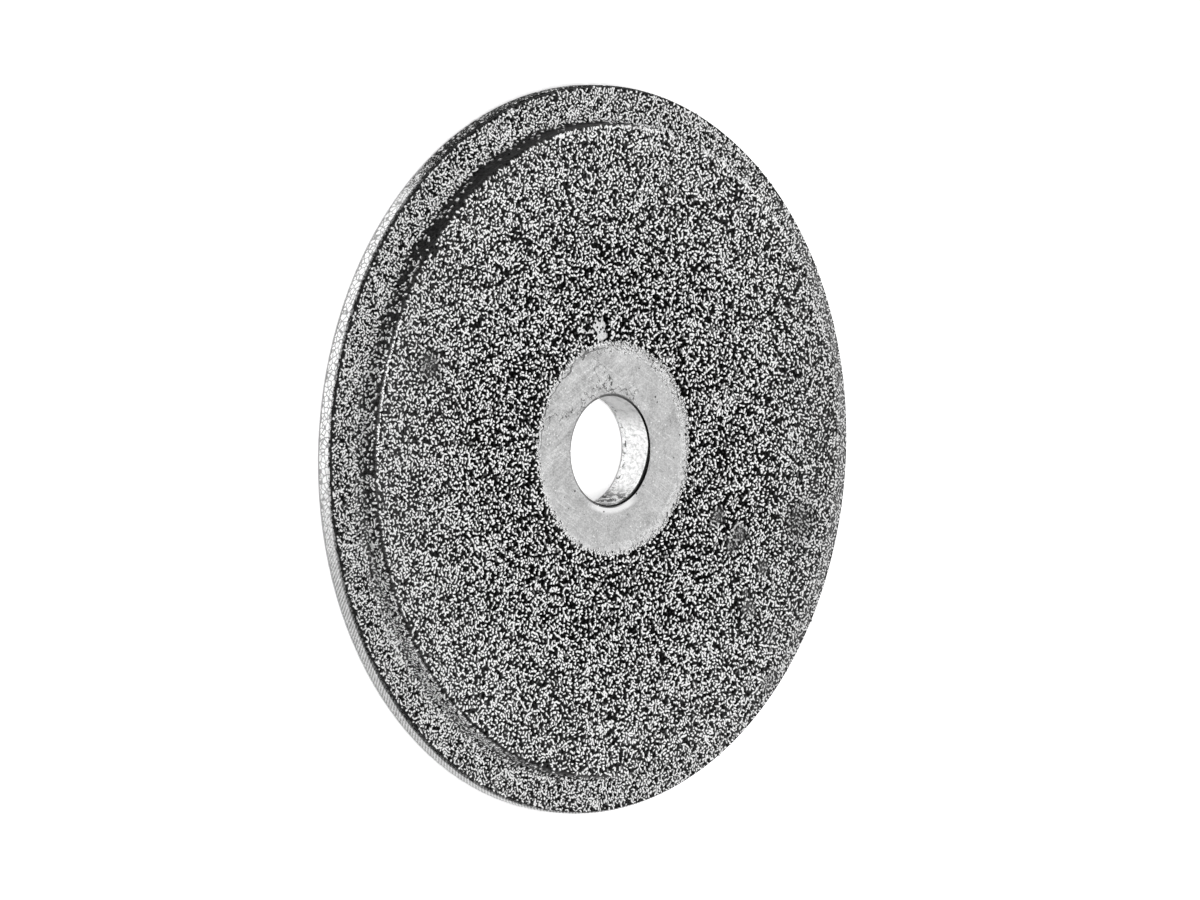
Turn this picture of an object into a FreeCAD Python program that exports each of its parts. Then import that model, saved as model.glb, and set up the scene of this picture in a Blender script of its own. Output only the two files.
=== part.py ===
import FreeCAD, Part
import math
import os

# Diamond-plated disc for grinding tungsten electrodes. All sizes are in millimetres.
# The disc lies on its plain back face. The origin is the centre of that face, and +Z is the
# turning axis, which points out of the grit-covered front.

# Steel blank, bare, as it was turned
rim_diameter = 40.0
flange_thickness = 0.85
rim_edge_break = 0.1
plateau_diameter = 35.7
step_height = 1.35
step_edge_break = 0.15
step_foot_chamfer = 0.3

# Bore for the grinder's spindle, through the whole disc
bore_diameter = 6.0
bore_front_chamfer = 0.1
bore_back_chamfer = 0.1

# Nickel plating with its grit, measured from the steel to the tips of the grit.
# It rounds the blank's broken edge and fills in its foot.
layer_thickness = 0.15
layer_edge_radius = 0.3
layer_foot_radius = 0.25

# Bare land round the bore. A round mask kept the plating off it, and sat off centre.
land_diameter = 11.8
land_offset = 0.25
land_offset_angle = 35.0

# Spot beside the land where the plating has flaked off
bare_spot_reach = 1.2
bare_spot_width = 0.65
bare_spot_angle = 101.0

# Cutting shapes reach this far past what they cut
overcut = 1.0

rim_radius = rim_diameter / 2
plateau_radius = plateau_diameter / 2
bore_radius = bore_diameter / 2
land_radius = land_diameter / 2
land_height = flange_thickness + step_height
bore_shoulder = land_height - bore_front_chamfer
front_inner_radius = bore_radius + bore_front_chamfer
front_outer_radius = rim_radius - rim_edge_break

ORIGIN = FreeCAD.Vector(0, 0, 0)
AXIS = FreeCAD.Vector(0, 0, 1)


def at(radius, height):
    """A point of the half section, which lies in the XZ plane."""
    return FreeCAD.Vector(radius, 0, height)


def path(*points):
    """Straight edges of the half section through the points in turn."""
    return [Part.LineSegment(a, b).toShape() for a, b in zip(points, points[1:])]


def corner(centre, radius, start_angle, end_angle):
    """A round corner of the half section. Angles are in degrees, from +X towards +Z."""
    angles = (start_angle, (start_angle + end_angle) / 2, end_angle)
    turns = [math.radians(angle) for angle in angles]
    start, middle, end = [centre + at(math.cos(turn), math.sin(turn)) * radius for turn in turns]
    return Part.Arc(start, middle, end).toShape()


def turned(edges):
    """The solid that the closed half section sweeps about the disc's axis."""
    section = Part.Face(Part.Wire(Part.__sortEdges__(edges)))
    return section.revolve(ORIGIN, AXIS, 360)


def bare_front():
    """The blank's front, from the bore over the plateau and its wall to the rim."""
    return path(
        at(front_inner_radius, land_height),
        at(plateau_radius - step_edge_break, land_height),
        at(plateau_radius, land_height - step_edge_break),
        at(plateau_radius, flange_thickness + step_foot_chamfer),
        at(plateau_radius + step_foot_chamfer, flange_thickness),
        at(front_outer_radius, flange_thickness),
    )


def plated_front():
    """The plating's outer surface over the same stretch, with a round edge and foot."""
    top = land_height + layer_thickness
    wall = plateau_radius + layer_thickness
    flange = flange_thickness + layer_thickness
    edge_centre = at(wall - layer_edge_radius, top - layer_edge_radius)
    foot_centre = at(wall + layer_foot_radius, flange + layer_foot_radius)
    return [
        *path(at(front_inner_radius, top), at(edge_centre.x, top)),
        corner(edge_centre, layer_edge_radius, 90, 0),
        *path(at(wall, edge_centre.z), at(wall, foot_centre.z)),
        corner(foot_centre, layer_foot_radius, 180, 270),
        *path(at(foot_centre.x, flange), at(front_outer_radius, flange)),
    ]


def disc_body():
    """The blank: a flange with a raised plateau, bored through and chamfered at both ends."""
    rim_back_and_bore = path(
        at(front_outer_radius, flange_thickness),
        at(rim_radius, flange_thickness - rim_edge_break),
        at(rim_radius, rim_edge_break),
        at(rim_radius - rim_edge_break, 0),
        at(bore_radius + bore_back_chamfer, 0),
        at(bore_radius, bore_back_chamfer),
        at(bore_radius, bore_shoulder),
        at(front_inner_radius, land_height),
    )
    blank = turned(bare_front() + rim_back_and_bore)
    # The mask leaves an edge on the plateau, so that the bare land is a face of its own
    return blank.fuse(blank.common(land_mask()))


def land_mask():
    """The round mask that kept the land bare."""
    direction = math.radians(land_offset_angle)
    middle = FreeCAD.Vector(math.cos(direction), math.sin(direction), 0) * land_offset
    foot = middle + AXIS * bore_shoulder
    return Part.makeCylinder(land_radius, bore_front_chamfer + overcut, foot)


def bare_spot():
    """The flaked spot, a round-ended notch that runs out from the land."""
    half_width = bare_spot_width / 2
    end_radius = land_radius + bare_spot_reach - half_width
    height = land_height + overcut
    neck = Part.makeBox(end_radius, bare_spot_width, height, FreeCAD.Vector(0, -half_width, 0))
    end = Part.makeCylinder(half_width, height, FreeCAD.Vector(end_radius, 0, 0))
    notch = neck.fuse(end)
    notch.rotate(ORIGIN, AXIS, bare_spot_angle)
    return notch


def diamond_layer():
    """The plating on the whole front, cut back to the land, the flaked spot and the rim."""
    inner_end = path(
        at(front_inner_radius, land_height),
        at(front_inner_radius, land_height + layer_thickness),
    )
    outer_end = path(
        at(front_outer_radius, flange_thickness),
        at(front_outer_radius, flange_thickness + layer_thickness),
    )
    skin = turned(bare_front() + outer_end + plated_front() + inner_end)
    return skin.cut(land_mask()).cut(bare_spot())


os.makedirs("parts", exist_ok=True)
disc_body().exportStep("parts/disc_body.step")
diamond_layer().exportStep("parts/diamond_layer.step")
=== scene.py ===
"""Looks of a diamond-plated grinding disc that lies on its back on a white table."""

import math

import bmesh
import bpy
import numpy as np
from mathutils import Matrix, Vector


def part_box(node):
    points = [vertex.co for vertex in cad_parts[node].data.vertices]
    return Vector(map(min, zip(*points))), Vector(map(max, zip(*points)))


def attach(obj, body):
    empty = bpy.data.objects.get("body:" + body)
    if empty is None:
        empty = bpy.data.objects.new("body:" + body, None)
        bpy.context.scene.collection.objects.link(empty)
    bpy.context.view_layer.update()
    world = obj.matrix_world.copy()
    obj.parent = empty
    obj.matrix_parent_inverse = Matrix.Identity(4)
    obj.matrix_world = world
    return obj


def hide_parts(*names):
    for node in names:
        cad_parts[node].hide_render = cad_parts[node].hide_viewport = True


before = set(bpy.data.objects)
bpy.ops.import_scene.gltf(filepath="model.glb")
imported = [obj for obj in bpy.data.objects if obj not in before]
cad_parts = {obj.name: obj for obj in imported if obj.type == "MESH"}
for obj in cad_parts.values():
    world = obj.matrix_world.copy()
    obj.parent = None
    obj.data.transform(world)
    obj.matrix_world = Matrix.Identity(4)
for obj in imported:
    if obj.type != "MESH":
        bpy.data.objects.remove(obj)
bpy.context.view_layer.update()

MM = 0.001
TURN = 2 * math.pi
RNG = np.random.default_rng(40)

# Sizes that the frame gives, in metres
LAND_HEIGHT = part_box("disc_body")[1].z
LAYER_LOW, LAYER_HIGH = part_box("diamond_layer")
FLANGE_HEIGHT = LAYER_LOW.z
LAYER_THICKNESS = LAYER_HIGH.z - LAND_HEIGHT

# The plated step, at the tips of the grit
WALL_RADIUS = 18.0 * MM
EDGE_RADIUS = 0.3 * MM
FOOT_RADIUS = 0.25 * MM
LAYER_OUTER_RADIUS = 19.9 * MM

# In millimetres: the bore's radius, the height at which its front chamfer starts, the radius past
# which the rim starts, and how near to a flat face a point lies on it
BORE_RADIUS = 3.0
BORE_SHOULDER = 2.1
PLATE_RADIUS = 19.88
FACE_DEPTH = 0.01

# The land's mask
LAND_RADIUS = 5.9 * MM
LAND_OFFSET = 0.25 * MM
LAND_OFFSET_ANGLE = 35.0

# How far the plating's border strays from the mask's circle: waves round the border, and their height
BORDER_WAVES = ((5, 0.03), (11, 0.03), (23, 0.03), (53, 0.03), (101, 0.045), (167, 0.045), (251, 0.04))
BORDER_STEPS = 1440

# Outlines of the two spots where the plating has flaked off, in millimetres, drawn
FLAKES = (
    (
        (-1.05, 5.74), (-1.04, 5.93), (-1.08, 6.01), (-0.91, 6.09), (-0.73, 6.2), (-0.73, 6.38),
        (-0.91, 6.52), (-0.98, 6.64), (-0.92, 6.77), (-0.82, 6.92), (-1.03, 6.99), (-1.13, 7.1),
        (-1.15, 7.25), (-1.25, 7.39), (-1.33, 7.22), (-1.37, 6.98), (-1.51, 7.02), (-1.58, 7.13),
        (-1.68, 7.27), (-1.84, 7.07), (-1.82, 6.95), (-1.95, 6.82), (-1.98, 6.72), (-1.79, 6.58),
        (-1.71, 6.47), (-1.56, 6.36), (-1.56, 6.28), (-1.65, 6.17), (-1.53, 6.0), (-1.33, 5.91),
        (-1.34, 5.73),
    ),
    (
        (-2.99, 6.27), (-2.82, 6.35), (-2.61, 6.31), (-2.43, 6.27), (-2.26, 6.32), (-2.02, 6.35),
        (-1.8, 6.31), (-1.63, 6.36), (-1.82, 6.53), (-2.04, 6.61), (-2.19, 6.54), (-2.32, 6.39),
        (-2.43, 6.45), (-2.57, 6.57), (-2.8, 6.55), (-2.99, 6.42), (-3.08, 6.27),
    ),
)
# Grains this near to an outline came away with the plating
FLAKE_MARGIN = 0.045 * MM
# Specks of plating left on the bare metal, and their radius in millimetres
SPECKS = (
    (-1.57, 6.69), (-1.28, 6.59), (-1.65, 6.41), (-0.83, 6.48), (-2.49, 6.34), (-1.73, 6.93),
    (-1.37, 6.43), (-1.76, 6.35), (-1.14, 6.69), (-0.91, 6.93), (-1.02, 6.49), (-2.02, 6.55),
)
SPECK_RADIUS = 0.07

# The nickel lies this far below the tips of the grit
BOND_DEPTH = 0.11 * MM
# Painted shade: the nickel between the grains is nearly black
GAP_SHADE_TONE = 0.002
# It builds up to a lip at the rim
LIP_WIDTH = 0.06 * MM
LIP_HEIGHT = 0.07 * MM
# Its corners are rounded by this much, and its unseen side is sunk in the steel
BOND_ROUNDING = 0.03 * MM
BOND_BURIED = 0.02 * MM
BOND_IN_WALL = 0.1 * MM
INNER_RING = 8.0 * MM

# Grit
GRAIN_SPACING = 0.152 * MM
GRAIN_SIZE = (0.13 * MM, 0.215 * MM)
FINE_SPACING = 0.13 * MM
FINE_SIZE = (0.115 * MM, 0.2 * MM)
GRAIN_SINK = 0.03 * MM
GRAIN_LEAN = 0.12
CRYSTALS = 32
CRYSTAL_CUTS = 3
CRYSTAL_STRETCH = (1.25, 1.8)
CRYSTAL_WIDTH = 0.85
CRYSTAL_HEIGHT = (0.8, 1.0)
CRYSTAL_FLATS = (0.3, 0.46)
GRAIN_ROUGHNESS = 0.25
GRAIN_IOR = 1.25
GRAINS_A_PIECE = 7500
# How many places are tried for a grain on each field, which fills it
PLATEAU_TRIES, STEP_TRIES, FLANGE_TRIES = 150000, 80000, 60000
# The plateau is sown from this radius, and a grain stays this far from the ragged border
SOWN_FROM = 5.5 * MM
BORDER_MARGIN = 0.04 * MM

# Stray grains on the land: how many, how far in they lie and their size
SPATTER = 1500
SPATTER_REACH = 0.1 * MM
SPATTER_SIZE = (0.05 * MM, 0.13 * MM)

# The step's wall is nearly bare above its foot: the foot's top and how ragged it is, the share of
# places with a grain above it, and the stretches with more of them as middle and half width in
# degrees and share
FOOT_TOP = 1.14 * MM
FOOT_RAGGED = 0.06 * MM
SPARSE_WALL = 0.03
SPECKLED_WALL = ((172.0, 28.0, 0.55), (225.0, 30.0, 0.95))

# Tones of the grit, as the eye sees them from 0 black to 1 white, and the power that turns such a
# tone into a share of light
DARK_TONES = (0.0, 0.1)
MIDDLE_TONES = (0.3, 0.7)
BRIGHT_TONES = (0.97, 1.0)
GAMMA = 2.2
# Dark grains keep this far apart. Of the grains that do, these shares are dark and middling
DARK_SPACING = 0.24 * MM
DARK_SHARE = 0.72
MIDDLE_SHARE = 0.2
# They thin out away from the land, and towards -X: places in millimetres and how much thinner
THINNER_OUTWARDS = ((6.0, 18.0, 18.5), (1.0, 2.0, 1.35))
THINNER_SIDEWAYS = ((-14.0, -6.0), (1.25, 1.0))
# Where the grit turns paler and lower in contrast: on the sides, as x, which is painted light, and at the
# rim, as radius, in millimetres
DULL_TONE = 0.8
DULL_LEFT, DULL_LEFT_PLATEAU, DULL_LEFT_FLANGE = (-16.0, -10.0), 0.25, 0.1
DULL_RIGHT, DULL_RIGHT_SHARE = (12.0, 18.0), 0.45
DULL_RIM, DULL_RIM_SHARE = (19.0, 19.5), 0.15
# Painted shade: the sides of a grain are darker than the faces that look up, whose normals rise more than
# this
FACE_SHADES = (0.95, 1.0)
SIDE_SHADE = 0.15
LEVEL = 0.7

# Patches where the grit is smeared grey, as x, y and radius in millimetres, strength and tone, and
# spots where it is dark
SMEARS = (
    (-14.24, 4.07, 0.8, 0.7, 0.48), (10.31, -4.2, 0.6, 0.85, 0.54), (9.7, -4.95, 0.42, 0.8, 0.52),
    (8.57, -3.28, 0.5, 0.8, 0.54), (12.36, -6.04, 0.5, 0.8, 0.6), (15.02, -3.28, 1.2, 0.5, 0.48),
    (11.47, -8.34, 0.6, 0.6, 0.66), (11.11, -7.48, 0.3, 0.7, 0.66), (14.64, -12.27, 0.75, 0.6, 0.68),
    (13.26, -9.67, 0.45, 0.5, 0.68),
)
DARK_SPOTS = (
    (14.39, 4.79, 0.22), (13.17, 5.01, 0.16), (12.26, 6.36, 0.16), (10.34, -7.91, 0.2),
    (12.7, -7.12, 0.18), (10.05, -6.59, 0.16),
)

# Rows of grains along the plateau's edge: radius and spacing in millimetres, the share of places
# that are filled and how far a grain strays, then the middle and half the length of each in degrees
EDGE_RADIUS_AND_SPACING = (17.75, 0.13)
EDGE_FILLED, EDGE_STRAY = 0.8, 0.015
EDGE_ROWS = ((171.0, 13.0), (77.0, 32.0))
# Past the first radius the first row is a white painted highlight, and past the second it has a black
# line of painted shade inside it
EDGE_HIGHLIGHT, SHADED_EDGE = 17.69, 17.57

# Marks, and places of painted light and shade, on the land, in the bore, on the rim and on the step's
# wall: middle, half width and fade in degrees
FIBRED_LAND = (140, 50, 50)
TIDE_LINE = (130, 45, 15)
HALO = (-50, 100, 40)
CURLED_LAND = (95, 65, 20)
DARK_HAIRS = (65, 35, 20)
PALE_HAIRS = (10, 80, 20)
# A painted reflection round the bore
CRESCENT_REFLECTION = (-82, 22, 14)
WORN_EDGE = (180, 100, 20)
# Painted shade on the bore's front chamfer, paler in this sector
PALE_LIP = (85, 25, 20)
BURRED_LIP = (-35, 15, 30)
# Painted shade in the bore: grey at +Y, and partly the dark streaks at -Y
SHADED_GREY_BORE = (85, 38, 25)
SOOT_AND_SHADE_BORE = (-97, 38, 22)
# Painted highlight on the rim at -X
CRAZED_RIM_HIGHLIGHT = (148, 34, 22)
CRAZED_FAR_RIM = (10, 40, 20)
# Painted shade on the rim at +Y
SHADED_RIM = (94, 34, 16)
# Painted light on the step's foot
LIT_WALL_FOOT = (230, 25, 20)

# Studio: how dark the room is overhead, the heights between which it darkens, the pale side's
# direction and its ramp, and the lamp as azimuth, elevation, share of the table's light and width
ROOM_TOP = 0.12
ROOM_RAMP = (0.03, 0.3)
PALE_SIDE = 20.0
PALE_SIDE_RAMP = (0.1, 0.8)
KEY = (200, 76, 0.82, 50)
TABLE_GLOW = 0.2

# Where the camera stood when the photograph was taken
PHOTO_WIDTH, PHOTO_HEIGHT = 1200, 900
CAMERA_TILT = 44.9026
CAMERA_SWING = 3.1444
CAMERA_DISTANCE = 603.796 * MM
PIXELS_PER_METRE = 18212.6
BACK_CENTRE_PIXEL = (582.55, 449.13)
SENSOR_WIDTH = 36.0


def make_camera():
    """The photograph's camera: its tilt off the disc's axis, its roll, its distance and its framing."""
    tilt, swing = math.radians(CAMERA_TILT), math.radians(CAMERA_SWING)
    # The disc's own axes, seen from the camera: x right, y down, z away
    axis_z = Vector((math.sin(tilt) * math.cos(swing), math.sin(tilt) * math.sin(swing), -math.cos(tilt)))
    axis_x = Vector((math.cos(tilt) * math.cos(swing), math.cos(tilt) * math.sin(swing), math.sin(tilt)))
    axis_y = axis_z.cross(axis_x)
    seen = Matrix((axis_x, axis_y, axis_z)).transposed()
    focal = PIXELS_PER_METRE * CAMERA_DISTANCE
    across = (BACK_CENTRE_PIXEL[0] - PHOTO_WIDTH / 2) / focal * CAMERA_DISTANCE
    down = (BACK_CENTRE_PIXEL[1] - PHOTO_HEIGHT / 2) / focal * CAMERA_DISTANCE
    place = -(seen.transposed() @ Vector((across, down, CAMERA_DISTANCE)))
    flip = Matrix(((1, 0, 0), (0, -1, 0), (0, 0, -1)))
    turn = (flip @ seen).transposed()
    data = bpy.data.cameras.new("camera")
    data.sensor_width = SENSOR_WIDTH
    data.lens = focal / PHOTO_WIDTH * SENSOR_WIDTH
    data.clip_start, data.clip_end = 0.01, 20
    camera = bpy.data.objects.new("camera", data)
    camera.matrix_world = Matrix.Translation(place) @ turn.to_4x4()
    bpy.context.scene.collection.objects.link(camera)
    bpy.context.scene.camera = camera


class Shader:
    """Nodes of a material or a world. Sockets and plain numbers both serve as inputs."""

    def __init__(self, block):
        block.use_nodes = True
        self.block = block
        self.nodes, self.links = block.node_tree.nodes, block.node_tree.links

    def feed(self, socket, value):
        if isinstance(value, bpy.types.NodeSocket):
            self.links.new(value, socket)
        else:
            socket.default_value = value

    def set(self, **values):
        """Values of the material's surface."""
        surface = self.nodes["Principled BSDF"]
        for name, value in values.items():
            self.feed(surface.inputs[name.replace("_", " ")], value)

    def add(self, kind, *inputs, out=0, **values):
        node = self.nodes.new("ShaderNode" + kind)
        for name, value in values.items():
            socket = node.inputs.get(name.replace("_", " "))
            if socket is None:
                setattr(node, name, value)
            else:
                self.feed(socket, value)
        for socket, value in zip(node.inputs, inputs):
            self.feed(socket, value)
        return node.outputs[out]

    def math(self, operation, *inputs):
        return self.add("Math", *inputs, operation=operation)

    def plus(self, first, second):
        return self.math("ADD", first, second)

    def times(self, first, second):
        return self.math("MULTIPLY", first, second)

    def larger(self, first, second):
        return self.math("MAXIMUM", first, second)

    def above(self, value, limit):
        """1 where the value is over the limit, and 0 elsewhere."""
        return self.math("GREATER_THAN", value, limit)

    def below(self, value, limit):
        """1 where the value is under the limit, and 0 elsewhere."""
        return self.math("LESS_THAN", value, limit)

    def off(self, value, middle):
        """How far the value is from the middle, either way."""
        return self.math("ABSOLUTE", self.math("SUBTRACT", value, middle))

    def point(self):
        """The place on the object in millimetres: the vector, its x, y, z, its radius and its angle."""
        where = self.add("TexCoord", out=3)
        where = self.add("VectorMath", where, operation="SCALE", Scale=1 / MM)
        parts = self.nodes.new("ShaderNodeSeparateXYZ")
        self.links.new(where, parts.inputs[0])
        x, y, z = parts.outputs
        return where, x, y, z, self.length(x, y), self.math("ARCTAN2", y, x)

    def length(self, x, y):
        return self.math("SQRT", self.plus(self.times(x, x), self.times(y, y)))

    def reach(self, x, y, place):
        """Distance of the point x, y from a place."""
        return self.length(self.math("SUBTRACT", x, place[0]), self.math("SUBTRACT", y, place[1]))

    def drawn_out(self, where, degrees, stretch):
        """The place turned about the disc's axis and stretched, for marks that run one way."""
        turned = self.add("VectorRotate", where, Angle=math.radians(degrees), rotation_type="Z_AXIS")
        return self.add("VectorMath", turned, stretch, operation="MULTIPLY")

    def sector(self, angle, middle, half, fade):
        """1 within half the degrees either side of the middle, falling to 0 over the fade."""
        near = self.math("COSINE", self.math("SUBTRACT", angle, math.radians(middle)))
        return self.spread(near, math.cos(math.radians(half + fade)), math.cos(math.radians(half)))

    def noise(self, where, scale, detail=3.0, roughness=0.5, **more):
        return self.add("TexNoise", Vector=where, Scale=scale, Detail=detail, Roughness=roughness, **more)

    def spread(self, value, low, high, to_low=0.0, to_high=1.0):
        """The value's range low to high, spread to another range and clamped there."""
        return self.add("MapRange", value, low, high, to_low, to_high)

    def mix(self, share, first, second):
        """A number between two others."""
        return self.math("MULTIPLY_ADD", share, self.math("SUBTRACT", second, first), first)

    def bump(self, height, depth):
        """Relief of the given depth in metres."""
        return self.add("Bump", Height=height, Strength=1.0, Distance=depth)


def new_material(name, **values):
    paint = Shader(bpy.data.materials.new(name))
    paint.set(**values)
    return paint


def from_direction(azimuth, elevation):
    """A unit vector that points from the disc towards a lamp. Azimuth runs from +X to +Y."""
    a, e = math.radians(azimuth), math.radians(elevation)
    return Vector((math.cos(a) * math.cos(e), math.sin(a) * math.cos(e), math.sin(e)))


def soft_sun(name, azimuth, elevation, floor_share, width):
    """A wide far lamp. floor_share is how much of a white table's brightness comes from it."""
    data = bpy.data.lights.new(name, "SUN")
    data.angle = math.radians(width)
    data.energy = floor_share * math.pi / math.sin(math.radians(elevation))
    lamp = bpy.data.objects.new(name, data)
    lamp.rotation_mode = "QUATERNION"
    lamp.rotation_quaternion = from_direction(azimuth, elevation).to_track_quat("Z", "Y")
    bpy.context.scene.collection.objects.link(lamp)


def make_studio():
    """White table, a lamp, and a room that is dark overhead and pale at the horizon and on one side."""
    bpy.context.scene.view_settings.view_transform = "Standard"
    world = bpy.data.worlds.new("studio")
    bpy.context.scene.world = world
    room = Shader(world)
    direction = room.add("TexCoord")
    horizon = room.spread(room.add("SeparateXYZ", direction, out=2), *ROOM_RAMP, 1.0, ROOM_TOP)
    pale_way = from_direction(PALE_SIDE, 0)
    towards = room.add("VectorMath", direction, pale_way, operation="DOT_PRODUCT", out=1)
    light = room.larger(horizon, room.spread(towards, *PALE_SIDE_RAMP, ROOM_TOP, 1.0))
    room.feed(room.nodes["Background"].inputs["Color"], light)
    soft_sun("key", *KEY)

    bpy.ops.mesh.primitive_plane_add(size=6)
    table = bpy.context.object
    table.name = "table"
    paint = new_material("white_table", Roughness=0.9, Specular_IOR_Level=0.1)
    paint.set(Base_Color=(0.97, 0.97, 0.97, 1), Emission_Color=(1, 1, 1, 1))
    path = paint.nodes.new("ShaderNodeLightPath").outputs
    seen = paint.larger(path["Is Camera Ray"], path["Is Glossy Ray"])
    paint.set(Emission_Strength=paint.times(seen, TABLE_GLOW))
    table.data.materials.append(paint.block)


def land_tone(paint, where, x, y, radius, angle):
    """Clouded bare steel with pits, pale dots, curled scratches and a tide line along its border."""
    clouds = paint.noise(where, 0.9, 6.0, 0.68)
    grain = paint.noise(where, 12.0, 2.0, 0.7)
    tone = paint.spread(clouds, 0.33, 0.67, 0.48, 0.74)
    tone = paint.plus(tone, paint.spread(grain, 0.3, 0.7, -0.17, 0.17))
    drawn = paint.drawn_out(where, -35, (0.6, 3.0, 1.0))
    fibres = paint.spread(paint.noise(drawn, 1.6, 4.0, 0.7), 0.35, 0.65, -0.1, 0.14)
    tone = paint.plus(tone, paint.times(fibres, paint.sector(angle, *FIBRED_LAND)))

    # Along the border: a wavering tide line, a pale halo, and dark and pale hairs
    offset, border = math.radians(LAND_OFFSET_ANGLE), LAND_RADIUS / MM
    mask_middle = LAND_OFFSET / MM * math.cos(offset), LAND_OFFSET / MM * math.sin(offset)
    from_middle = paint.reach(x, y, mask_middle)
    wobble = paint.spread(paint.noise(where, 0.9, 3.0), 0.3, 0.7, -0.25, 0.25)
    tide = paint.below(paint.off(paint.plus(from_middle, wobble), border - 0.3), 0.045)
    tone = paint.mix(paint.times(tide, paint.sector(angle, *TIDE_LINE)), tone, 0.22)
    halo = paint.times(paint.spread(from_middle, border - 0.45, border), paint.sector(angle, *HALO))
    tone = paint.plus(tone, paint.times(halo, 0.27))
    hairs = paint.off(paint.noise(where, 2.4, 3.0, 0.6), 0.5)
    by_border = paint.spread(from_middle, border - 0.8, border - 0.6)
    dark = paint.times(paint.below(hairs, 0.022), by_border)
    pale = paint.times(paint.below(paint.off(hairs, 0.045), 0.02), by_border)

    curls = paint.off(paint.noise(where, 1.1, 3.0, 0.6), 0.5)
    curls = paint.times(paint.below(curls, 0.012), paint.spread(paint.noise(where, 0.5, 0.0), 0.5, 0.62))
    tone = paint.mix(paint.times(curls, paint.sector(angle, *CURLED_LAND)), tone, 0.14)
    tone = paint.mix(paint.times(dark, paint.sector(angle, *DARK_HAIRS)), tone, 0.12)
    tone = paint.mix(paint.times(pale, paint.sector(angle, *PALE_HAIRS)), tone, 1.0)

    # Round the bore: a bright crescent, which is a painted reflection, and a worn edge
    crescent_reflection = paint.plus(radius, paint.times(grain, 0.3))
    crescent_reflection = paint.spread(crescent_reflection, BORE_RADIUS + 0.5, BORE_RADIUS + 0.65, 1.0, 0.0)
    tone = paint.mix(paint.times(crescent_reflection, paint.sector(angle, *CRESCENT_REFLECTION)), tone, 1.0)
    worn = paint.times(paint.below(radius, BORE_RADIUS + 0.15), paint.sector(angle, *WORN_EDGE))
    tone = paint.mix(worn, tone, 0.2)

    scratched = paint.drawn_out(where, 25, (0.5, 7.0, 1.0))
    tone = paint.plus(tone, paint.spread(paint.noise(scratched, 1.5, 2.0, 0.6), 0.6, 0.68, 0.0, 0.16))
    flaked = paint.spread(from_middle, border + 0.05, border + 0.2)
    tone = paint.mix(flaked, tone, paint.spread(grain, 0.35, 0.65, 0.62, 1.0))
    for speck in SPECKS:
        tone = paint.mix(paint.below(paint.reach(x, y, speck), SPECK_RADIUS), tone, 0.01)

    chance = paint.noise(where, 0.7, 0.0)
    pits = paint.add("TexVoronoi", Vector=where, Scale=2.3, Randomness=1.0)
    tone = paint.mix(paint.below(pits, paint.spread(chance, 0.42, 0.62, 0.0, 0.14)), tone, 0.08)
    dots = paint.add("TexVoronoi", Vector=where, Scale=3.1, Randomness=1.0)
    dots = paint.below(dots, paint.spread(chance, 0.38, 0.58, 0.16, 0.0))
    return clouds, grain, paint.mix(dots, tone, 1.0)


def bore_tone(paint, where, z, angle):
    """A drawn bore: grey with painted shade at +Y, bright along +X, and dark streaks at -Y, partly soot
    and partly painted shade.
    """
    fine = paint.noise(where, 6.0, 4.0, 0.7)
    bright = paint.spread(fine, 0.35, 0.55, 0.56, 0.92)
    grey = paint.spread(fine, 0.3, 0.7, 0.36, 0.48)
    # Painted shade: the bore is grey at +Y
    tone = paint.mix(paint.sector(angle, *SHADED_GREY_BORE), bright, grey)
    lengthwise = paint.add("CombineXYZ", paint.times(angle, 3.0), paint.times(z, 0.5), 0.0)
    streaks = paint.noise(lengthwise, 3.0, 5.0, 0.75)
    tone = paint.times(tone, paint.spread(streaks, 0.38, 0.5, 0.68, 1.0))
    # The dark streaks at -Y are partly soot and partly painted shade
    soot_and_shade = paint.times(paint.sector(angle, *SOOT_AND_SHADE_BORE), paint.spread(streaks, 0.47, 0.5))
    tone = paint.mix(soot_and_shade, tone, 0.01)
    nicks = paint.spread(paint.noise(where, 4.0, 3.0, 0.7), 0.56, 0.6)
    nicks = paint.times(nicks, paint.spread(z, 0.35, 0.5, 1.0, 0.0))
    return paint.mix(nicks, tone, 0.1)


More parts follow.
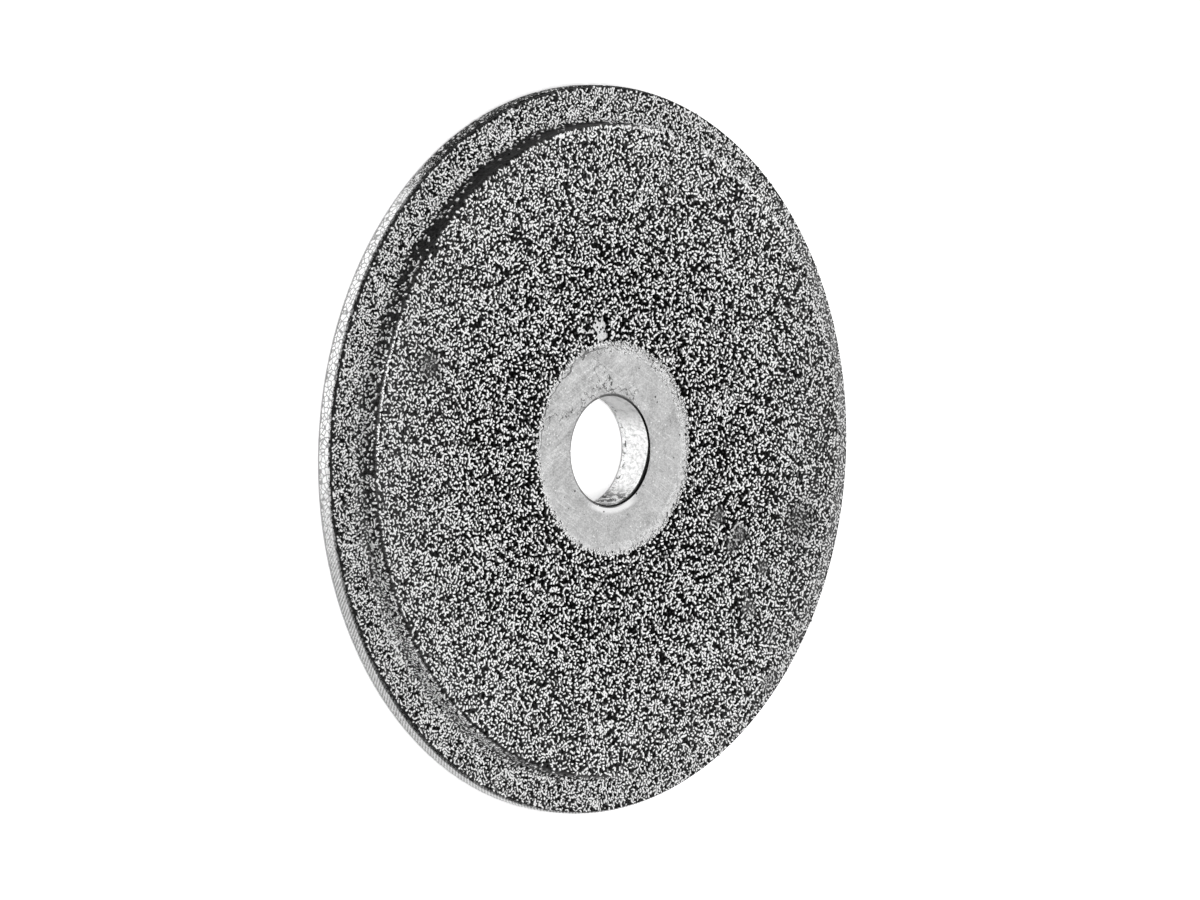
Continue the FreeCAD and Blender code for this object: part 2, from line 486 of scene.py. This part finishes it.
def rim_tone(paint, where, z, angle):
    """The rim: crazed and bright at -X and +X, with a painted highlight at -X; scored at -Y; painted
    shade at +Y.
    """
    cells = paint.add("TexVoronoi", Vector=where, Scale=3.4, Randomness=1.0, feature="DISTANCE_TO_EDGE")
    fine = paint.noise(where, 5.5, 2.0, 0.7)
    cracks = paint.spread(cells, 0.05, 0.12, 1.0, 0.0)
    bright = paint.mix(cracks, paint.spread(fine, 0.35, 0.6, 0.7, 0.96), 0.28)
    slanted = paint.plus(paint.times(angle, WALL_RADIUS / MM), z)
    scores = paint.math("SINE", paint.plus(paint.times(slanted, 28.0), paint.times(fine, 4.0)))
    scored = paint.plus(paint.spread(fine, 0.3, 0.7, 0.28, 0.5), paint.times(scores, 0.18))
    # Painted shade at +Y: a dark tone with pale specks, laid over the rim by the sector below
    rim_shade_tone = paint.spread(fine, 0.56, 0.61, 0.006, 0.85)
    # Painted highlight: the rim's bright, crazed tone at -X
    tone = paint.mix(paint.sector(angle, *CRAZED_RIM_HIGHLIGHT), scored, bright)
    rim_shade = paint.plus(paint.sector(angle, *SHADED_RIM), paint.spread(fine, 0.35, 0.65, -0.5, 0.5))
    rim_shade = paint.spread(rim_shade, 0.4, 0.55)
    tone = paint.mix(rim_shade, tone, rim_shade_tone)
    tone = paint.mix(paint.sector(angle, *CRAZED_FAR_RIM), tone, bright)
    # Painted shade: a dark line along the rim's front edge
    ragged = paint.spread(fine, 0.4, 0.6, -0.02, 0.07)
    tone = paint.mix(paint.above(paint.plus(z, ragged), FLANGE_HEIGHT / MM), tone, 0.03)
    back = paint.below(z, paint.spread(fine, 0.4, 0.6, 0.09, 0.17))
    back = paint.times(back, paint.math("SUBTRACT", 1.0, rim_shade))
    return rim_shade, paint.mix(back, tone, 0.2)


def steel():
    """Turned steel, with some painted light and shade: a clouded land, a drawn bore, a worn rim and a
    turned back.
    """
    paint = new_material("turned_steel", Specular_IOR_Level=0.1)
    where, x, y, z, radius, angle = paint.point()
    clouds, grain, land = land_tone(paint, where, x, y, radius, angle)
    bore = bore_tone(paint, where, z, angle)
    rim_shade, rim = rim_tone(paint, where, z, angle)
    rings = paint.noise(paint.add("CombineXYZ", radius, 0.0, 0.0), 4.0, 6.0, 0.75)
    back = paint.spread(rings, 0.35, 0.65, 0.5, 0.66)
    # Painted shade: the bore's front chamfer is nearly black, paler at +Y
    lip = paint.mix(paint.sector(angle, *PALE_LIP), 0.015, 0.2)

    on_land = paint.above(z, LAND_HEIGHT / MM - FACE_DEPTH)
    in_bore = paint.times(paint.below(radius, BORE_RADIUS + 0.05), paint.above(z, 0.1))
    burr = paint.times(paint.sector(angle, *BURRED_LIP), 0.13)
    on_lip = paint.above(paint.plus(z, burr), BORE_SHOULDER)
    on_lip = paint.times(on_lip, paint.below(radius, BORE_RADIUS + 0.2))
    on_back = paint.below(z, FACE_DEPTH)
    tone = paint.mix(on_back, rim, back)
    tone = paint.mix(in_bore, tone, bore)
    tone = paint.mix(on_lip, tone, lip)
    paint.set(Base_Color=paint.mix(on_land, tone, land))

    # The rim's painted shade is also rough and not metallic
    rim_shade = paint.times(rim_shade, paint.above(radius, PLATE_RADIUS))
    satin = paint.spread(clouds, 0.3, 0.7, 0.42, 0.3)
    paint.set(Roughness=paint.mix(rim_shade, paint.mix(on_land, 0.32, satin), 0.7))
    paint.set(Metallic=paint.math("SUBTRACT", 1.0, rim_shade))
    relief = paint.mix(on_back, paint.mix(on_land, bore, grain), rings)
    paint.set(Normal=paint.bump(relief, 0.006 * MM))
    return paint.block


def nickel():
    """Bare nickel with painted shade: nearly black between the grains, and lighter but still dark on the
    step, where hardly any grit sticks, with painted light on its foot at one side.
    """
    paint = new_material("nickel_bond", Metallic=1.0, Roughness=0.38)
    where, x, y, z, radius, angle = paint.point()
    wall_radius = WALL_RADIUS / MM
    plateau = paint.above(z, LAYER_HIGH.z / MM - 0.14)
    plateau = paint.times(plateau, paint.below(radius, wall_radius - 0.3))
    flat = paint.larger(plateau, paint.above(radius, wall_radius + 0.32))
    specks = paint.noise(where, 7.0, 4.0, 0.7)
    # Painted shade: the step's wall is nearly black; painted light makes its foot paler at one side
    foot = paint.spread(z, 1.35, 1.6, 1.0, 0.0)
    lit_foot = paint.times(foot, paint.sector(angle, *LIT_WALL_FOOT))
    wall = paint.mix(lit_foot, paint.mix(foot, 0.045, 0.07), 0.2)
    wall = paint.times(wall, paint.spread(specks, 0.35, 0.65, 0.1, 1.5))
    # Painted shade makes the gaps between the grains nearly black in the middle; painted light makes them
    # paler towards -X and +X
    sides = paint.plus(paint.spread(x, -17.0, -11.0, 1.0, 0.0), paint.spread(x, 11.0, 17.0))
    gaps = paint.larger(paint.mix(sides, GAP_SHADE_TONE, 0.05), paint.spread(radius, 10.0, 17.5, 0.0, 0.04))
    gaps = paint.larger(gaps, paint.spread(radius, 18.9, 19.7, 0.0, 0.1))
    for mark_x, mark_y, size, strength, shade in SMEARS:
        reach = paint.reach(x, y, (mark_x, mark_y))
        light = 0.75 * shade**GAMMA * strength
        gaps = paint.larger(gaps, paint.spread(reach, 0.3 * size, 1.2 * size, light, 0.0))
    tone = paint.mix(flat, wall, gaps)
    # Painted shade: the lip at the rim is darker, a dark line along the rim's front edge
    on_lip = paint.above(radius, (LAYER_OUTER_RADIUS - LIP_WIDTH) / MM)
    paint.set(Base_Color=paint.mix(on_lip, tone, 0.02), Roughness=paint.mix(flat, 0.55, 0.38))
    paint.set(Normal=paint.bump(paint.noise(where, 9.0, 3.0, 0.6), 0.01 * MM))
    return paint.block


def grit():
    paint = new_material("diamond_grains", Roughness=GRAIN_ROUGHNESS, IOR=GRAIN_IOR)
    paint.set(Base_Color=paint.add("Attribute", attribute_name="tone", out=2))
    return paint.block


def mask_radius(angles):
    """Radius of the off-centre mask at each angle."""
    offset = math.radians(LAND_OFFSET_ANGLE)
    along = LAND_OFFSET * np.cos(angles - offset)
    return along + np.sqrt(along**2 - LAND_OFFSET**2 + LAND_RADIUS**2)


def land_border(angles):
    """Radius of the plating's ragged border round the land."""
    border = mask_radius(angles)
    for waves, height in BORDER_WAVES:
        border = border + height * MM * np.sin(waves * angles + RNG.uniform(0, TURN))
    return border


def mesh_object(name, verts, corners, sides, tones=None):
    """An object from vertices, the corners of its faces in turn, and each face's number of sides."""
    mesh = bpy.data.meshes.new(name)
    mesh.vertices.add(len(verts))
    mesh.vertices.foreach_set("co", verts.astype(np.float32).ravel())
    mesh.loops.add(len(corners))
    mesh.loops.foreach_set("vertex_index", corners.astype(np.int32))
    mesh.polygons.add(len(sides))
    starts = np.concatenate([[0], np.cumsum(sides)[:-1]])
    mesh.polygons.foreach_set("loop_start", starts.astype(np.int32))
    mesh.polygons.foreach_set("loop_total", sides.astype(np.int32))
    if tones is not None:
        layer = mesh.attributes.new("tone", "FLOAT", "FACE")
        layer.data.foreach_set("value", tones.astype(np.float32))
    mesh.update()
    mesh.validate()
    made = bpy.data.objects.new(name, mesh)
    bpy.context.scene.collection.objects.link(made)
    return made


def ring_object(name, rings):
    """A closed skin whose rings each give the radius and height at every angle."""
    steps, count = BORDER_STEPS, len(rings)
    angles = np.linspace(0, TURN, steps, endpoint=False)
    verts = []
    for radius, height in rings:
        height = np.full(steps, height)
        verts.append(np.stack([radius * np.cos(angles), radius * np.sin(angles), height], 1))
    here = np.arange(steps)
    after = (here + 1) % steps
    faces = []
    for k in range(count):
        low, high = k * steps, (k + 1) % count * steps
        faces.append(np.stack([low + here, high + here, high + after, low + after], 1))
    corners = np.concatenate(faces).ravel()
    return mesh_object(name, np.concatenate(verts), corners, np.full(count * steps, 4))


def step_profile(depth, turns=np.radians(np.linspace(0, 90, 7))):
    """Radius and height along the step's edge and its foot, depth under the tips of the grit."""
    top = LAYER_HIGH.z - depth
    wall = WALL_RADIUS - depth
    flange = FLANGE_HEIGHT + LAYER_THICKNESS - depth
    edge, foot = EDGE_RADIUS - depth, FOOT_RADIUS + depth
    points = [(wall - edge + edge * math.sin(t), top - edge + edge * math.cos(t)) for t in turns]
    points += [(wall + foot - foot * math.cos(t), flange + foot - foot * math.sin(t)) for t in turns]
    return points


def flake_cutter(outline):
    """A prism over the outline of a flaked spot."""
    count = len(outline)
    low, high = LAND_HEIGHT - 1 * MM, LAYER_HIGH.z + 1 * MM
    flat = np.array(outline) * MM
    verts = [np.column_stack([flat, np.full(count, height)]) for height in (low, high)]
    here = np.arange(count)
    after = (here + 1) % count
    walls = np.stack([here, after, after + count, here + count], 1).ravel()
    corners = np.concatenate([walls, here[::-1], here + count])
    return mesh_object("cutter", np.concatenate(verts), corners, np.array([4] * count + [count, count]))


def make_bond():
    """The nickel that holds the grit, from its ragged border at the land to its end at the rim."""
    angles = np.linspace(0, TURN, BORDER_STEPS, endpoint=False)
    border = land_border(angles)
    top = LAYER_HIGH.z - BOND_DEPTH
    flange = FLANGE_HEIGHT + LAYER_THICKNESS - BOND_DEPTH
    rings = [(border, LAND_HEIGHT - BOND_BURIED), (border, top - BOND_ROUNDING)]
    rings += [(border + BOND_ROUNDING, top), (INNER_RING, top)] + step_profile(BOND_DEPTH)
    lip_start, lip_top = LAYER_OUTER_RADIUS - LIP_WIDTH, flange + LIP_HEIGHT
    rings += [(lip_start, flange), (lip_start + LIP_WIDTH * 0.4, lip_top)]
    rings += [(lip_start + LIP_WIDTH * 0.8, lip_top), (LAYER_OUTER_RADIUS, lip_top - BOND_ROUNDING)]
    rings += [(LAYER_OUTER_RADIUS, FLANGE_HEIGHT - BOND_BURIED)]
    hidden_wall = WALL_RADIUS - LAYER_THICKNESS - BOND_IN_WALL
    rings += [(hidden_wall, FLANGE_HEIGHT - BOND_BURIED), (hidden_wall, LAND_HEIGHT - BOND_BURIED)]
    bond = ring_object("nickel_bond", rings)
    for outline in FLAKES:
        cutter = flake_cutter(outline)
        cut = bond.modifiers.new("flake", "BOOLEAN")
        cut.object, cut.operation, cut.solver = cutter, "DIFFERENCE", "EXACT"
        bpy.context.view_layer.objects.active = bond
        bpy.ops.object.modifier_apply(modifier=cut.name)
        bpy.data.objects.remove(cutter)
    bond.data.materials.append(nickel())
    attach(bond, "root")
    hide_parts("diamond_layer")
    return angles, border


def crystal():
    """Vertices and faces of one blocky grain, about 1 across: a block cut back by random flats."""
    shape = bmesh.new()
    bmesh.ops.create_cube(shape, size=1)
    stretch = RNG.uniform(*CRYSTAL_STRETCH)
    size = (CRYSTAL_WIDTH * stretch, CRYSTAL_WIDTH / stretch, RNG.uniform(*CRYSTAL_HEIGHT))
    bmesh.ops.scale(shape, vec=size, verts=shape.verts)
    for _ in range(CRYSTAL_CUTS):
        normal = Vector(RNG.normal(size=3)).normalized()
        everything = shape.verts[:] + shape.edges[:] + shape.faces[:]
        flat = normal * RNG.uniform(*CRYSTAL_FLATS)
        cut = bmesh.ops.bisect_plane(
            shape, geom=everything, plane_co=flat, plane_no=normal, clear_outer=True
        )
        rim = [part for part in cut["geom_cut"] if isinstance(part, bmesh.types.BMEdge)]
        if len(rim) > 2:
            bmesh.ops.contextual_create(shape, geom=rim)
    bmesh.ops.recalc_face_normals(shape, faces=shape.faces[:])
    shape.verts.index_update()
    verts = np.array([v.co for v in shape.verts])
    faces = [[v.index for v in face.verts] for face in shape.faces]
    shape.free()
    return verts, faces


def face_normals(verts, faces):
    """The way that each face looks, from its first three corners."""
    corners = np.array([verts[face[:3]] for face in faces])
    normals = np.cross(corners[:, 1] - corners[:, 0], corners[:, 2] - corners[:, 0])
    return normals / np.linalg.norm(normals, axis=1, keepdims=True)


def grain_turns(count):
    """Rotations that spin each grain at random and tilt it a little off its flat."""
    leans = RNG.normal(0, GRAIN_LEAN, count)
    ways = RNG.uniform(0, TURN, count)
    spins = RNG.uniform(0, TURN, count)
    turns = []
    for lean, way, spin in zip(leans, ways, spins):
        tilt = Matrix.Rotation(lean, 3, (math.cos(way), math.sin(way), 0))
        turns.append(tilt @ Matrix.Rotation(spin, 3, "Z"))
    return np.array(turns)


def facing(directions):
    """Rotations that turn +Z to each direction."""
    up = Vector((0, 0, 1))
    return np.array([up.rotation_difference(Vector(way)).to_matrix() for way in directions])


def apart(points, spacing):
    """Which of the points keep their spacing from every earlier kept one."""
    cells, kept = {}, []
    near = [(a, b) for a in (-1, 0, 1) for b in (-1, 0, 1)]
    columns, rows = np.floor(points / spacing).astype(int).T.tolist()
    places = points.tolist()
    for i, (x, y) in enumerate(places):
        column, row = columns[i], rows[i]
        taken = (places[j] for a, b in near for j in cells.get((column + a, row + b), ()))
        if all((u - x) ** 2 + (v - y) ** 2 >= spacing * spacing for u, v in taken):
            cells.setdefault((column, row), []).append(i)
            kept.append(i)
    return np.array(kept)


def sown(inner, outer, height, spacing, tries):
    """Tips and directions of grains on a flat ring, as close together as they can lie."""
    radius = np.sqrt(RNG.uniform(inner**2, outer**2, tries))
    angle = RNG.uniform(0, TURN, tries)
    points = np.stack([radius * np.cos(angle), radius * np.sin(angle)], 1)
    points = points[apart(points, spacing)]
    tips = np.column_stack([points, np.full(len(points), height)])
    return tips, np.tile((0.0, 0.0, 1.0), (len(points), 1))


def sown_step(tries):
    """Tips and directions of grains on the step: many on its foot, few on its wall, none on its edge."""
    profile = np.array(step_profile(0.0, np.radians(np.linspace(0, 90, 31))))
    run = np.concatenate([[0], np.cumsum(np.hypot(*np.diff(profile, axis=0).T))])
    along, angle = RNG.uniform(0, run[-1], tries), RNG.uniform(0, TURN, tries)
    kept = apart(np.column_stack([along, angle * WALL_RADIUS]), FINE_SPACING)
    along, angle = along[kept], angle[kept]
    radius, height = np.interp(along, run, profile[:, 0]), np.interp(along, run, profile[:, 1])
    slope = np.column_stack([np.interp(along, run, np.gradient(profile[:, k], run)) for k in (0, 1)])
    degrees = np.degrees(angle)
    speckled = sum(
        share * np.exp(-(((degrees - middle) / half) ** 2)) for middle, half, share in SPECKLED_WALL
    )
    on_foot = height + RNG.uniform(-FOOT_RAGGED, FOOT_RAGGED, len(along)) < FOOT_TOP
    below_edge = height < LAYER_HIGH.z - EDGE_RADIUS / 2
    on_wall = below_edge & (RNG.uniform(0, 1, len(along)) < SPARSE_WALL + speckled)
    stays = on_foot | on_wall
    radius, height, slope, angle = radius[stays], height[stays], slope[stays], angle[stays]
    tips = np.column_stack([radius * np.cos(angle), radius * np.sin(angle), height])
    slope /= np.hypot(*slope.T)[:, None]
    out, up = -slope[:, 1], slope[:, 0]
    return tips, np.column_stack([out * np.cos(angle), out * np.sin(angle), up])


def edge_rows():
    """Tips of the grains that stand in rows along the plateau's edge."""
    radius, spacing = EDGE_RADIUS_AND_SPACING
    rows = []
    for middle, half in EDGE_ROWS:
        angle = np.radians(np.arange(middle - half, middle + half, math.degrees(spacing / radius)))
        angle = angle[RNG.uniform(0, 1, len(angle)) < EDGE_FILLED]
        reach = (radius + RNG.normal(0, EDGE_STRAY, len(angle))) * MM
        height = np.full(len(angle), LAYER_HIGH.z)
        rows.append(np.column_stack([reach * np.cos(angle), reach * np.sin(angle), height]))
    return np.concatenate(rows)


def inside(points, outline):
    """Which of the points lie inside the outline."""
    flags = np.zeros(len(points), bool)
    x, y = points.T
    corners = np.array(outline) * MM
    for (x1, y1), (x2, y2) in zip(corners, np.roll(corners, -1, 0)):
        if y1 != y2:
            flags ^= ((y1 > y) != (y2 > y)) & (x < (x2 - x1) * (y - y1) / (y2 - y1) + x1)
    return flags


def grit_tones(places):
    """How pale each grain is, as the share of light that it gives back."""
    count = len(places)
    x, y = places[:, 0] / MM, places[:, 1] / MM
    radius = np.hypot(x, y)
    # Dark grains lie one by one among pale ones
    order = RNG.permutation(count)
    lone = order[apart(places[order, :2], DARK_SPACING)]
    kind = np.ones(count)
    kind[lone] = RNG.uniform(0, 1, len(lone)) * np.interp(radius[lone], *THINNER_OUTWARDS)
    kind *= np.interp(x, *THINNER_SIDEWAYS)
    dark, bright = RNG.uniform(*DARK_TONES, count), RNG.uniform(*BRIGHT_TONES, count)
    tone = np.where(kind < DARK_SHARE, dark, bright)
    middling = (kind > DARK_SHARE) & (kind < DARK_SHARE + MIDDLE_SHARE)
    tone = np.where(middling, RNG.uniform(*MIDDLE_TONES, count), tone)

    on_plateau = radius < WALL_RADIUS / MM
    # Painted light: the grit turns paler and lower in contrast towards -X and +X; it also does so near
    # the rim
    left = np.where(on_plateau, DULL_LEFT_PLATEAU, DULL_LEFT_FLANGE)
    dulled = np.interp(x, DULL_LEFT, (1, 0)) * left + np.interp(x, DULL_RIGHT, (0, DULL_RIGHT_SHARE))
    dulled += np.interp(radius, DULL_RIM, (0, DULL_RIM_SHARE))
    tone += (DULL_TONE - tone) * dulled
    for mark_x, mark_y, size, strength, shade in SMEARS:
        reach = np.hypot(x - mark_x, y - mark_y) / size
        tone += (shade - tone) * strength * np.exp(-(reach**3))
    # Painted highlight and painted shade on the first row along the plateau's edge
    middle, half = EDGE_ROWS[0]
    degrees = np.degrees(np.arctan2(y, x)) % 360
    on_row = on_plateau & (radius > SHADED_EDGE) & (np.abs(degrees - middle) < half)
    tone[on_row] = np.where(radius[on_row] > EDGE_HIGHLIGHT, 1.0, 0.0)
    for mark_x, mark_y, size in DARK_SPOTS:
        tone[np.hypot(x - mark_x, y - mark_y) < size] = DARK_TONES[0]
    return tone**GAMMA


def grains_object(name, tips, directions, crystals, material, size):
    """A piece of grit with one grain under each tip, square to its direction."""
    count = len(tips)
    kinds = RNG.integers(0, len(crystals), count)
    sizes = RNG.uniform(*size, count)
    turns = grain_turns(count)
    seats = facing(directions)
    sink = RNG.uniform(0, GRAIN_SINK, count)
    tone_of = grit_tones(tips)
    verts, corners, sides, tones, base = [], [], [], [], 0
    for kind, (shape, faces) in enumerate(crystals):
        mine = np.flatnonzero(kinds == kind)
        placed = np.einsum("nij,vj->nvi", turns[mine], shape) * sizes[mine, None, None]
        placed[:, :, 2] -= placed[:, :, 2].max(1, keepdims=True) + sink[mine, None]
        placed = np.einsum("nij,nvj->nvi", seats[mine], placed) + tips[mine, None, :]
        flat = np.concatenate([np.array(face) for face in faces])
        starts = base + np.arange(len(mine)) * len(shape)
        verts.append(placed.reshape(-1, 3))
        corners.append((starts[:, None] + flat[None, :]).ravel())
        sides.append(np.tile([len(face) for face in faces], len(mine)))
        # Painted shade: the sides of a grain are darkened as if its neighbours shaded them
        up = np.einsum("nj,fj->nf", turns[mine][:, 2], face_normals(shape, faces))
        shade = RNG.uniform(*FACE_SHADES, (len(mine), len(faces))) * np.where(up > LEVEL, 1.0, SIDE_SHADE)
        tones.append((tone_of[mine, None] * shade).ravel())
        base += len(mine) * len(shape)
    verts, corners, sides, tones = map(np.concatenate, (verts, corners, sides, tones))
    piece = mesh_object(name, verts, corners, sides, tones)
    piece.data.materials.append(material)
    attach(piece, "root")
    return piece


def make_grit(angles, border):
    """The diamond grains, in pieces of even size round the disc."""
    crystals = [crystal() for _ in range(CRYSTALS)]
    material = grit()
    plateau_end = WALL_RADIUS - EDGE_RADIUS * 2 / 3
    tips, directions = sown(SOWN_FROM, plateau_end, LAYER_HIGH.z, GRAIN_SPACING, PLATEAU_TRIES)
    edge = np.interp(np.arctan2(tips[:, 1], tips[:, 0]) % TURN, angles, border, period=TURN)
    bare = np.hypot(tips[:, 0], tips[:, 1]) < edge + BORDER_MARGIN
    for outline in FLAKES:
        for step in ((0, 0), (1, 0), (-1, 0), (0, 1), (0, -1)):
            bare |= inside(tips[:, :2] + np.array(step) * FLAKE_MARGIN, outline)
    tips = np.concatenate([tips[~bare], edge_rows()])
    plateau = tips, np.tile((0.0, 0.0, 1.0), (len(tips), 1))
    flange_inner, flange_top = WALL_RADIUS + FOOT_RADIUS, FLANGE_HEIGHT + LAYER_THICKNESS
    flange = sown(flange_inner, LAYER_OUTER_RADIUS - LIP_WIDTH, flange_top, FINE_SPACING, FLANGE_TRIES)
    fields = (
        ("plateau", plateau, GRAIN_SIZE),
        ("step", sown_step(STEP_TRIES), FINE_SIZE),
        ("flange", flange, FINE_SIZE),
    )
    for label, (tips, directions), size in fields:
        order = np.argsort(np.arctan2(tips[:, 1], tips[:, 0]))
        pieces = math.ceil(len(tips) / GRAINS_A_PIECE)
        for number, share in enumerate(np.array_split(order, pieces), 1):
            name = f"grit_{label}_{number}"
            grains_object(name, tips[share], directions[share], crystals, material, size)


def make_spatter(angles, border):
    """Small stray grains on the land, close to the plating's border."""
    angle = RNG.uniform(0, TURN, SPATTER)
    edge = np.interp(angle, angles, border, period=TURN)
    radius = edge - np.abs(RNG.normal(0, SPATTER_REACH, SPATTER))
    height = np.full(SPATTER, LAND_HEIGHT + SPATTER_SIZE[1] / 2)
    tips = np.column_stack([radius * np.cos(angle), radius * np.sin(angle), height])
    up = np.tile((0.0, 0.0, 1.0), (SPATTER, 1))
    crystals = [crystal() for _ in range(CRYSTALS)]
    grains_object("grit_spatter", tips, up, crystals, grit(), SPATTER_SIZE)


make_camera()
make_studio()
plating_border = make_bond()
make_grit(*plating_border)
make_spatter(*plating_border)
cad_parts["disc_body"].data.materials.clear()
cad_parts["disc_body"].data.materials.append(steel())
